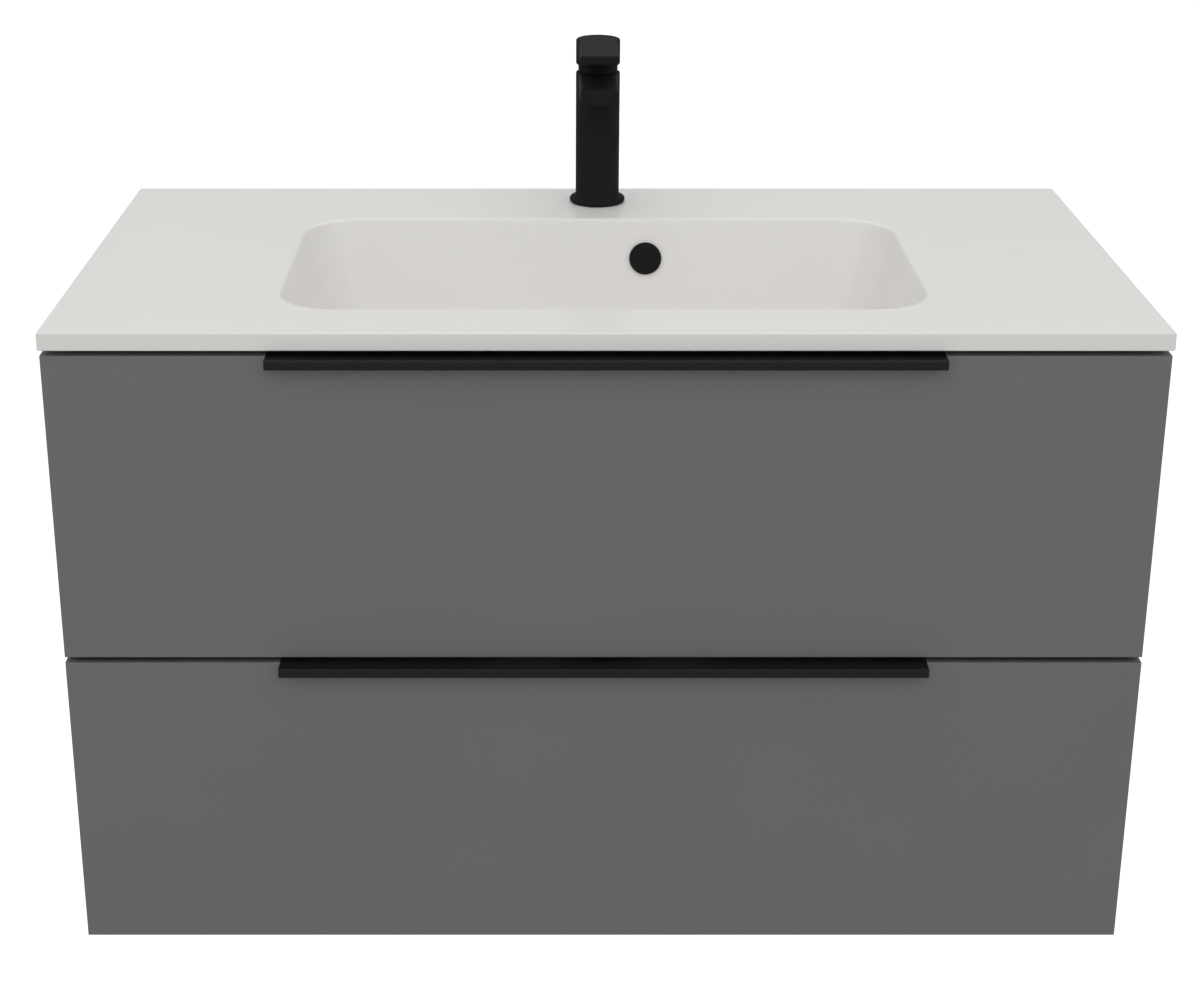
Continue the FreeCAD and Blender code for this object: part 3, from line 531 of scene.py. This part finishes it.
def makeBasin():
    low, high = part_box("basin_top")
    look = basin
    top = high.z / mm
    under = top - look["slab"]
    halfW, halfD = high.x / mm, (high.y - low.y) / mm / 2
    centre = (0.0, look["bowlY"])
    slabCentre = (0.0, (high.y + low.y) / mm / 2)
    lean = math.radians(look["lean"])
    turn = math.pi / 2 - lean
    loops = []

    def slabLoop(inset, z):
        outline = roundedLoop(halfW - inset, halfD - inset, look["slabCorner"], slabCentre)
        loops.append([(x, y, z) for x, y in outline])

    def bowlLoop(inset, depth, grow=0.0):
        outline = roundedLoop(look["bowlHalfX"] - inset, look["bowlHalfY"] - inset, look["corner"] + grow, centre)
        loops.append([(x, y, top - depth) for x, y in outline])

    # rim: level, then over a small round on to the wall
    slabLoop(look["edgeRound"], top)
    r = look["rimRound"]
    reach = r * math.tan(turn / 2)
    for k in range(look["rimSteps"] + 1):
        a = turn * k / look["rimSteps"]
        bowlLoop(-reach + r * math.sin(a), r * (1 - math.cos(a)))
    # straight wall, then the fillet at its foot
    rimEnd = reach * math.cos(lean)
    r = look["floorRound"]
    reach = r * math.tan(turn / 2)
    wallEnd = look["depth"] - reach * math.cos(lean)
    for k in range(1, look["wallSteps"]):
        depth = rimEnd + (wallEnd - rimEnd) * k / look["wallSteps"]
        bowlLoop(depth * math.tan(lean), depth)
    floorInset = look["depth"] * math.tan(lean) + reach
    for k in range(look["roundSteps"] + 1):
        a = turn * (1 - k / look["roundSteps"])
        bowlLoop(floorInset - r * math.sin(a), look["depth"] - r * (1 - math.cos(a)))
    # floor falls gently from the fillet to the drain
    half = (look["bowlHalfX"] - floorInset, look["bowlHalfY"] - floorInset)
    edge = roundedLoop(*half, look["floorCorner"], centre)
    drain = roundLoop(edge, *half, look["recessR"] + look["boreEase"], centre)
    for k in range(1, look["floorSteps"] + 1):
        t = k / look["floorSteps"]
        fall = look["fall"] * t * t * (3 - 2 * t)
        loops.append([(x, y, top - look["depth"] - fall) for x, y in blended(edge, drain, t)])
    # recess with an eased lip, bore, and the boss below, which spreads into the shell
    drainZ = top - look["depth"] - look["fall"]
    deep = drainZ - look["recessDeep"]
    shellLow = top - look["depth"] - look["wall"]
    recess, bore, boss, bossLow = look["recessR"], look["boreR"], look["bossR"], look["bossLow"]
    lip, ease, bossEase, flare = look["recessEase"], look["boreEase"], look["bossEase"], look["bossFlare"]
    for radius, z in ((recess + lip, drainZ - lip), (recess, drainZ - ease), (recess, deep), (bore + ease, deep),
                      (bore, deep - ease), (bore, bossLow + ease), (bore + ease, bossLow),
                      (boss - bossEase, bossLow), (boss, bossLow + bossEase), (boss, shellLow - flare),
                      (boss + flare, shellLow)):
        loops.append([(x, y, z) for x, y in roundLoop(edge, *half, radius, centre)])
    # underside of the shell, up to the slab and round its edge
    shellEdge = roundedLoop(*half, look["shellCorner"], centre)
    bossEdge = roundLoop(edge, *half, boss + flare, centre)
    for k in range(1, look["underSteps"] + 1):
        outline = blended(bossEdge, shellEdge, k / look["underSteps"])
        loops.append([(x, y, shellLow) for x, y in outline])
    r = look["floorRound"] + look["wall"]
    for k in range(1, look["roundSteps"] + 1):
        a = turn * k / look["roundSteps"]
        depth = look["depth"] + look["wall"] - r * (1 - math.cos(a))
        bowlLoop(floorInset - r * math.sin(a), depth, look["wall"])
    shellInset = look["slab"] * math.tan(lean) - look["wall"] / math.cos(lean)
    inner, outer = look["shellEase"]
    bowlLoop(shellInset + inner, look["slab"] + flare, look["wall"])
    bowlLoop(shellInset - outer, look["slab"], look["wall"])
    slabLoop(look["lowEdge"], under)
    slabLoop(0.0, under + look["lowEdge"])
    slabLoop(0.0, top - look["edgeRound"])
    for k in range(1, 4):
        a = math.pi / 2 * k / 4
        slabLoop(look["edgeRound"] * (1 - math.cos(a)), top - look["edgeRound"] * (1 - math.sin(a)))
    verts, faces = skinLoops(loops, True)
    return placeMesh("basinCasting", scaled(verts), faces, "basin_top")


def onBackWall(x, y, z):
    # a point of the overflow's own frame: y runs into the leaning wall, z up along it
    lean = math.radians(basin["lean"])
    sine, cosine = math.sin(lean), math.cos(lean)
    wallY = basin["bowlY"] + basin["bowlHalfY"]
    return ((duct["x"] + x) * mm, (wallY + y * cosine + z * sine) * mm, (basinTop - y * sine + z * cosine) * mm)


def underFloor(x, y, z):
    # a point of the floor duct's frame: minus y runs from under the overflow to the waste
    turn = math.atan2(-duct["x"], duct["footY"] - basin["bowlY"])
    across, along = x * math.cos(turn) - y * math.sin(turn), x * math.sin(turn) + y * math.cos(turn)
    return ((duct["x"] + across) * mm, (duct["footY"] + along) * mm, z * mm)


def addOverflowDuct(piece):
    look = duct
    long = math.hypot(look["x"], look["footY"] - basin["bowlY"])
    carve(piece, *blockCorners(*look["backHousing"], onBackWall), look["backRound"], "UNION")
    half, back, z0, z1 = look["floorHousing"]
    housing = blockCorners((-half, look["floorGap"] - long, z0), (half, back, z1), underFloor)
    carve(piece, *housing, look["floorRound"], "UNION")
    carve(piece, *blockCorners(*look["backRoom"], onBackWall))
    half, back, z0, z1 = look["floorRoom"]
    carve(piece, *blockCorners((-half, -long, z0), (half, back, z1), underFloor))
    # round hole in the wall, and the tap's hole through the slab
    start, end, r = look["holeFrom"], look["holeTo"], look["holeR"]
    verts, faces = lathe([(0, start), (r, start), (r, end), (0, end)], look["sides"])
    carve(piece, [onBackWall(x, z, y - look["drop"]) for x, y, z in verts], faces)
    (start, end), r = look["tapHoleZ"], look["tapHoleR"]
    verts, faces = lathe([(0, start), (r, start), (r, end), (0, end)], look["sides"], (0, look["tapY"]))
    carve(piece, scaled(verts), faces)


basinPiece = makeBasin()
mergeMesh(basinPiece.data)
addOverflowDuct(basinPiece)
soften(basinPiece, 40)
standsFor(basinPiece, "basin_top")
print("basin made:", len(basinPiece.data.polygons), "faces")


# tap: body with its spout, and the lever, in millimetres from the tap's foot

tap = {"bodyR": 20.8, "bodyHigh": 126, "bodyEdge": 0.8, "footR": 26.5, "footHigh": 5.6, "footEdge": 2.7,
       "footBlend": 5, "halfWide": 17.5, "spoutReach": 88, "spoutRoot": 24, "spoutBottom": 90, "spoutLow": 106,
       "tipLow": 112, "leverReach": 90, "leverRoot": 22, "leverLow": 143, "leverTipLow": 150, "capLow": 133,
       "capHigh": 157.5, "capEdge": 2.0, "barEdge": 1.6, "pivot": 130, "domeR": 19.2, "hollowEdge": 0.1,
       "aerator": (75, 9.25, 100, 118), "socket": (17.6, 112, 140), "inlets": (8.5, 4, 5.0, -5, 15),
       "stud": (11.5, 4.0, -5, 20), "groove": (21.5, 2.5, 1.2), "keyHole": (152.3, 2.0, 4), "carveBlend": 0.5,
       "spoutBlend": 3, "spoutTaper": 2.5, "leverBlend": 2.5, "leverTaper": 2.0, "step": 0.7,
       "stemRoom": ((-4, -4, 138), (4, 4, 155)), "bodyRoom": ((-27, -89, 0), (27, 27, 127)),
       "leverRoom": ((-22, -91, 132), (22, 22, 158))}


def tapBodyField(x, y, z):
    look = tap
    rho = np.hypot(x, y)
    half, reach, root, small = look["halfWide"], look["spoutReach"], look["spoutRoot"], look["hollowEdge"]
    foot = rodField(rho, z, look["footR"], 0, look["footHigh"], look["footEdge"])
    trunk = rodField(rho, z, look["bodyR"], 0, look["bodyHigh"], look["bodyEdge"])
    spout = blockField(x, y, z, (-half, -reach, look["spoutBottom"]), (half, 0, look["bodyHigh"]), look["barEdge"])
    slope = (look["tipLow"] - look["spoutLow"]) / (reach - root)
    spout = less(spout, z - look["spoutLow"] - (-y - root) * slope, look["spoutTaper"])
    body = join(join(foot, trunk, look["footBlend"]), spout, look["spoutBlend"])
    body = np.maximum(body, np.maximum(z - look["bodyHigh"], -z))  # blending swells level faces, so they are cut flat
    along, r, z0, z1 = look["aerator"]
    outlet = rodField(np.hypot(x, y + along), z, r, z0, z1, small)
    r, z0, z1 = look["socket"]
    socket = rodField(rho, z, r, z0, z1, small)
    side, along, r, z0, z1 = look["inlets"]
    inlets = rodField(np.hypot(np.abs(x) - side, y + along), z, r, z0, z1, small)
    along, r, z0, z1 = look["stud"]
    studHole = rodField(np.hypot(x, y - along), z, r, z0, z1, small)
    r, half, high = look["groove"]
    groove = np.maximum(np.abs(rho - r) - half, z - high)
    for hollow in (outlet, socket, inlets, studHole, groove):
        body = less(body, hollow, look["carveBlend"])
    return body


def leverField(x, y, z):
    look = tap
    rho = np.hypot(x, y)
    half, reach, root = look["halfWide"], look["leverReach"], look["leverRoot"]
    cap = rodField(rho, z, look["bodyR"], look["capLow"], look["capHigh"], look["capEdge"])
    paddle = blockField(x, y, z, (-half, -reach, look["capLow"]), (half, 0, look["capHigh"]), look["barEdge"])
    slope = (look["leverTipLow"] - look["leverLow"]) / (reach - root)
    paddle = less(paddle, z - look["leverLow"] - (-y - root) * slope, look["leverTaper"])
    body = join(cap, paddle, look["leverBlend"])
    body = np.maximum(body, z - look["capHigh"])
    bowl = np.sqrt(rho ** 2 + (z - look["pivot"]) ** 2) - look["domeR"]
    keyZ, r, start = look["keyHole"]
    keyHole = np.maximum(np.hypot(x, z - keyZ) - r, start - y)
    stemRoom = blockField(x, y, z, *look["stemRoom"], look["hollowEdge"])
    for hollow in (bowl, keyHole, stemRoom):
        body = less(body, hollow, look["carveBlend"])
    return body


def makeTap():
    low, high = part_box("tap_body")
    foot = np.array((0.0, high.y - tap["footR"] * mm, low.z))
    for name, field, room, nodeName in (("tapTrunk", tapBodyField, tap["bodyRoom"], "tap_body"),
                                        ("tapLever", leverField, tap["leverRoom"], "tap_lever")):
        verts, faces = skinField(field, *room, tap["step"])
        standsFor(placeMesh(name, verts * mm + foot, faces, nodeName), nodeName)
        print(name, "made:", len(faces), "faces")


makeTap()


# handles: one extruded ledge each, let into the top edge of its front

handle = {"thick": 2.0, "lip": 8.0, "leg": 25.0, "outerRound": 1.4, "lipRound": 0.7, "innerRound": 0.6,
          "edgeRound": 0.35, "endBevel": 0.3, "sharpAngle": 35}


def roundedOutline(corners, steps=5):
    # polygon of (y, z, radius) with every corner rounded
    points = []
    n = len(corners)
    for k, (y, z, radius) in enumerate(corners):
        here = Vector((y, z))
        before = (Vector(corners[k - 1][:2]) - here).normalized()
        after = (Vector(corners[(k + 1) % n][:2]) - here).normalized()
        angle = before.angle(after)
        reach = radius / math.tan(angle / 2)
        centre = here + (before + after).normalized() * (radius / math.sin(angle / 2))
        start = here + before * reach - centre
        end = here + after * reach - centre
        for j in range(steps + 1):
            t = j / steps
            mix = start * math.sin((1 - t) * (math.pi - angle)) + end * math.sin(t * (math.pi - angle))
            points.append(centre + mix / math.sin(math.pi - angle))
    return points


def makeHandle(nodeName):
    low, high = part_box(nodeName)
    look = handle
    t, small, bevel = look["thick"], look["edgeRound"], look["endBevel"]
    lipY, backY, top = low.y / mm, high.y / mm, high.z / mm
    outline = roundedOutline([
        (lipY, top, look["outerRound"]), (backY, top, small), (backY, top - look["leg"], small),
        (backY - t, top - look["leg"], small), (backY - t, top - t, small), (lipY + t, top - t, look["innerRound"]),
        (lipY + t, top - look["lip"], small), (lipY, top - look["lip"], look["lipRound"])])
    n = len(outline)
    left, right = low.x / mm, high.x / mm
    loops = []
    for x, inset in ((left, bevel), (left + bevel, 0.0), (right - bevel, 0.0), (right, bevel)):
        loop = []
        for k, p in enumerate(outline):
            along = (outline[(k + 1) % n] - outline[k - 1]).normalized()
            loop.append((x, p[0] + inset * along[1], p[1] - inset * along[0]))
        loops.append(loop)
    verts, faces = skinLoops(loops, False)
    faces += [tuple(range(n)), tuple(range(len(verts) - n, len(verts)))]
    piece = placeMesh(nodeName + "Extrusion", scaled(verts), faces, nodeName)
    mergeMesh(piece.data)
    soften(piece, look["sharpAngle"])
    standsFor(piece, nodeName)


for drawer in ("upper", "lower"):
    makeHandle(drawer + "_handle")
print("handles made")


# boards: banded edges where they show, bare chipboard where they don't

board = {"edgeRound": 0.5, "sharpAngle": 50, "cutoutWall": 12, "greyBandRoughness": 0.42,
         "drawerBandRoughness": 0.4}


def edgeBand(slotName, name, roughness):
    # ABS edge band glued on the board's edge: same colour as the faces, a little smoother
    band = finishes[slotName].copy()
    band.name = name
    band.node_tree.nodes["Principled BSDF"].inputs["Roughness"].default_value = roughness
    return band


bandOf = {"grey_board": edgeBand("grey_board", "greyEdgeBand", board["greyBandRoughness"]),
          "drawer_board": edgeBand("drawer_board", "drawerEdgeBand", board["drawerBandRoughness"])}


def addBoard(mesh, low, high, rawSides):
    # one board with eased edges; its faces are 0 melamine, 1 edge band, 2 bare chipboard
    work = bmesh.new()
    bmesh.ops.create_cube(work, size=1.0)
    size = Vector(high) - Vector(low)
    middle = (Vector(high) + Vector(low)) / 2
    for vert in work.verts:
        vert.co = Vector([middle[k] + vert.co[k] * size[k] for k in range(3)])
    thin = min(range(3), key=lambda k: size[k])
    for face in work.faces:
        axis = max(range(3), key=lambda k: abs(face.normal[k]))
        side = ("+" if face.normal[axis] > 0 else "-") + "xyz"[axis]
        face.material_index = 0 if axis == thin else 2 if side in rawSides else 1
    bmesh.ops.bevel(work, geom=work.edges[:], offset=board["edgeRound"] * mm, segments=3, profile=0.5,
                    affect="EDGES", clamp_overlap=True, material=-1)
    work.from_mesh(mesh)
    work.to_mesh(mesh)
    work.free()


def makeBoard(name, nodeName, boxes, rawSides=()):
    mesh = bpy.data.meshes.new(name)
    for low, high in boxes:
        addBoard(mesh, low, high, rawSides)
    slotName = slotOf[nodeName]
    for finish in (finishes[slotName], bandOf[slotName], chipboard):
        mesh.materials.append(finish)
    piece = placePiece(name, mesh)
    soften(piece, board["sharpAngle"])
    standsFor(piece, nodeName)


rawOf = {"side_panel_left": ("+y", "+z"), "side_panel_right": ("+y", "+z"), "bottom_panel": ("+y", "+x", "-x"),
         "front_top_rail": ("+y", "+x", "-x"), "rear_bottom_rail": ("+x", "-x", "-z"),
         "upper_drawer_side_left": ("-y", "-z"), "upper_drawer_side_right": ("-y", "-z"),
         "lower_drawer_side_left": ("-y", "-z"), "lower_drawer_side_right": ("-y", "-z"),
         "lower_drawer_back": ("-z",), "lower_drawer_base": ("+y", "-y")}
for nodeName, rawSides in rawOf.items():
    makeBoard(nodeName + "Board", nodeName, [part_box(nodeName)], rawSides)

# the upper drawer's back stands in two parts, and three walls line the cut-out round the trap
wallLow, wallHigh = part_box("upper_cutout_walls")
backLow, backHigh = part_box("upper_drawer_back")
wallThick = board["cutoutWall"] * mm
makeBoard("upperBackBoards", "upper_drawer_back",
          [((backLow.x, backLow.y, backLow.z), (wallLow.x, backHigh.y, backHigh.z)),
           ((wallHigh.x, backLow.y, backLow.z), (backHigh.x, backHigh.y, backHigh.z))], ("-z",))
makeBoard("cutoutBoards", "upper_cutout_walls",
          [((wallLow.x, wallLow.y + wallThick, wallLow.z), (wallLow.x + wallThick, wallHigh.y, wallHigh.z)),
           ((wallHigh.x - wallThick, wallLow.y + wallThick, wallLow.z), (wallHigh.x, wallHigh.y, wallHigh.z)),
           ((wallLow.x, wallLow.y, wallLow.z), (wallHigh.x, wallLow.y + wallThick, wallHigh.z))], ("-z",))
print("boards made")


# round trim: overflow cover on the leaning wall, and the waste plug

trim = {"coverR": 15.0, "coverThick": 3.0, "coverEdge": 1.1, "coverDome": 0.35, "coverGap": 0.5, "collarR": 10.6,
        "collarLong": 8.0, "plugR": 30.0, "plugThick": 5.0, "plugEdge": 1.8, "plugDome": 0.6, "stemR": 3.0,
        "backEase": 0.4, "heel": 0.3, "faceSteps": 8, "edgeSteps": 6, "sides": 96, "sharpAngle": 40}


def domedDisc(radius, thick, edge, dome, backR, backLong):
    # outline from the middle of the face, over the rolled edge, to the back and its shank
    steps, ease, heel = trim["faceSteps"], trim["backEase"], edge * trim["heel"]
    profile = [(radius * k / steps, thick + dome * (1 - (k / steps) ** 2) - dome) for k in range(steps)]
    profile = [(r, z) for r, z in profile if r < radius - edge]
    for k in range(trim["edgeSteps"] + 1):
        a = math.pi / 2 * k / trim["edgeSteps"]
        profile.append((radius - edge + edge * math.sin(a), thick - dome - edge + edge * math.cos(a)))
    profile += [(radius, heel), (radius - heel, 0.0), (backR + ease, 0.0), (backR, -ease)]
    profile += [(backR, -backLong + ease), (backR - ease, -backLong), (0.0, -backLong)]
    return lathe(profile, trim["sides"])


def placeTrim(name, verts, faces, nodeName):
    piece = placeMesh(name, verts, faces, nodeName)
    mergeMesh(piece.data)
    soften(piece, trim["sharpAngle"])
    standsFor(piece, nodeName)


def makeOverflowCover():
    look = trim
    verts, faces = domedDisc(look["coverR"], look["coverThick"], look["coverEdge"], look["coverDome"],
                             look["collarR"], look["collarLong"])
    placed = [onBackWall(x, -look["coverGap"] - z, -duct["drop"] - y) for x, y, z in verts]
    placeTrim("overflowDisc", placed, faces, "overflow_cover")


def makePlug():
    look = trim
    low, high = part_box("waste_plug")
    stemLong = (high.z - low.z) / mm - look["plugThick"]
    verts, faces = domedDisc(look["plugR"], look["plugThick"], look["plugEdge"], look["plugDome"], look["stemR"],
                             stemLong)
    foot = high.z / mm - look["plugThick"]
    placed = scaled([(x, basin["bowlY"] + y, foot + z) for x, y, z in verts])
    placeTrim("wastePlugDisc", placed, faces, "waste_plug")


makeOverflowCover()
makePlug()
print("trim made")


# balls and cages of the drawer runners: they roll between the channels and ride with the middle ones

race = {"ballR": 1.45, "ballSides": 20, "ballRings": 12, "step": 14.0,
        "outer": (426.0, 19.55, -430, -330), "inner": (424.4, 15.05, -160, -60), "cageHalf": 2.3,
        "cageThick": 0.7, "cageEdge": 0.25, "cageSharpAngle": 35}


def makeRaces(drawer):
    look = race
    low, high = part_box(drawer + "_runner_middle")
    middle = (low.z + high.z) / 2 / mm
    balls = bmesh.new()
    cages = bmesh.new()
    places = [(side, up, *look[name]) for side in (-1, 1) for up in (-1, 1) for name in ("outer", "inner")]
    for side, up, x, z, start, end in places:
        x, z = side * x * mm, (middle + up * z) * mm
        strip = bmesh.ops.create_cube(cages, size=1.0)["verts"]
        size = (2 * look["cageHalf"] * mm, (end - start) * mm, look["cageThick"] * mm)
        bmesh.ops.scale(cages, verts=strip, vec=size)
        bmesh.ops.translate(cages, verts=strip, vec=(x, (start + end) / 2 * mm, z))
        for y in np.arange(start + look["step"] / 2, end, look["step"]):
            ball = bmesh.ops.create_uvsphere(balls, u_segments=look["ballSides"], v_segments=look["ballRings"],
                                             radius=look["ballR"] * mm)
            bmesh.ops.translate(balls, verts=ball["verts"], vec=(x, y * mm, z))
    bmesh.ops.bevel(cages, geom=cages.edges[:], offset=look["cageEdge"] * mm, segments=2, profile=0.5,
                    affect="EDGES")
    for name, work in ((drawer + "RunnerCages", cages), (drawer + "RunnerBalls", balls)):
        mesh = bpy.data.meshes.new(name)
        work.to_mesh(mesh)
        work.free()
        mesh.materials.append(finishes["zinc_steel"])
        mesh.shade_smooth()
        piece = placePiece(name, mesh)
        if work is cages:
            soften(piece, look["cageSharpAngle"])
        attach(piece, drawer + "_runner_middle")


for drawer in ("upper", "lower"):
    makeRaces(drawer)
print("runner balls made")


# floor, light and camera; a lamp is its place, its target, its size and its power in watts

studio = {"floorDrop": 2.4, "floorSize": 120, "floorColor": "#fcfcfc", "floorRoughness": 0.8, "floorGlow": 0.62,
          "worldColor": "#ffffff", "worldStrength": 0.52}
lamps = {"topLight": ((0, -0.6, 2.6), (0, -0.2, 0), (4.0, 3.0), 18),
         "frontLight": ((0, -2.6, 2.0), (0, -0.4, -0.1), (3.0, 1.4), 12),
         "leftLight": ((-2.4, -2.4, 1.7), (0, -0.3, 0), (2.0, 2.0), 8),
         "rightLight": ((2.4, -2.4, 1.7), (0, -0.3, 0), (2.0, 2.0), 8),
         "backLight": ((0, 1.3, 2.2), (0, -0.35, 0), (3.0, 1.2), 9)}
view = {"lens": 65.26, "sensor": 36, "pitch": 19.88, "side": -0.0389, "reach": 1.6293, "rise": 0.5331,
        "shiftX": 0.036, "shiftY": -0.0833}


def makeStudio():
    half = studio["floorSize"] / 2
    low = -studio["floorDrop"]
    mesh = bpy.data.meshes.new("floor")
    corners = [(-half, -half, low), (half, -half, low), (half, half, low), (-half, half, low)]
    mesh.from_pydata(corners, [], [(0, 1, 2, 3)])
    mesh.materials.append(newMaterial("paleFloor", studio["floorColor"], Roughness=studio["floorRoughness"],
                                      Emission_Strength=studio["floorGlow"])[0])
    floor = bpy.data.objects.new("floor", mesh)
    bpy.context.scene.collection.objects.link(floor)
    floor.visible_diffuse = False  # bright to look at, yet the room around it lights the object evenly
    floor.visible_glossy = False
    world = bpy.data.worlds.new("studio")
    world.use_nodes = True
    back = world.node_tree.nodes["Background"]
    back.inputs["Color"].default_value = hexLinear(studio["worldColor"])
    back.inputs["Strength"].default_value = studio["worldStrength"]
    bpy.context.scene.world = world


def makeLamp(name, place, target, size, power):
    data = bpy.data.lights.new(name, "AREA")
    data.shape = "RECTANGLE"
    data.size, data.size_y = size
    data.energy = power
    lamp = bpy.data.objects.new(name, data)
    lamp.location = place
    lamp.rotation_euler = (Vector(target) - Vector(place)).to_track_quat("-Z", "Y").to_euler()
    bpy.context.scene.collection.objects.link(lamp)


def makeCamera():
    data = bpy.data.cameras.new("camera")
    data.sensor_width = view["sensor"]
    data.lens = view["lens"]
    data.shift_x, data.shift_y = view["shiftX"], view["shiftY"]
    camera = bpy.data.objects.new("camera", data)
    low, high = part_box("basin_top")
    camera.location = (view["side"], low.y - view["reach"], high.z + view["rise"])
    camera.rotation_euler = (math.radians(90 - view["pitch"]), 0, 0)
    bpy.context.scene.collection.objects.link(camera)
    bpy.context.scene.camera = camera


makeStudio()
for name, spec in lamps.items():
    makeLamp(name, *spec)
makeCamera()
bpy.context.scene.view_settings.view_transform = "Standard"
print("studio and camera set")
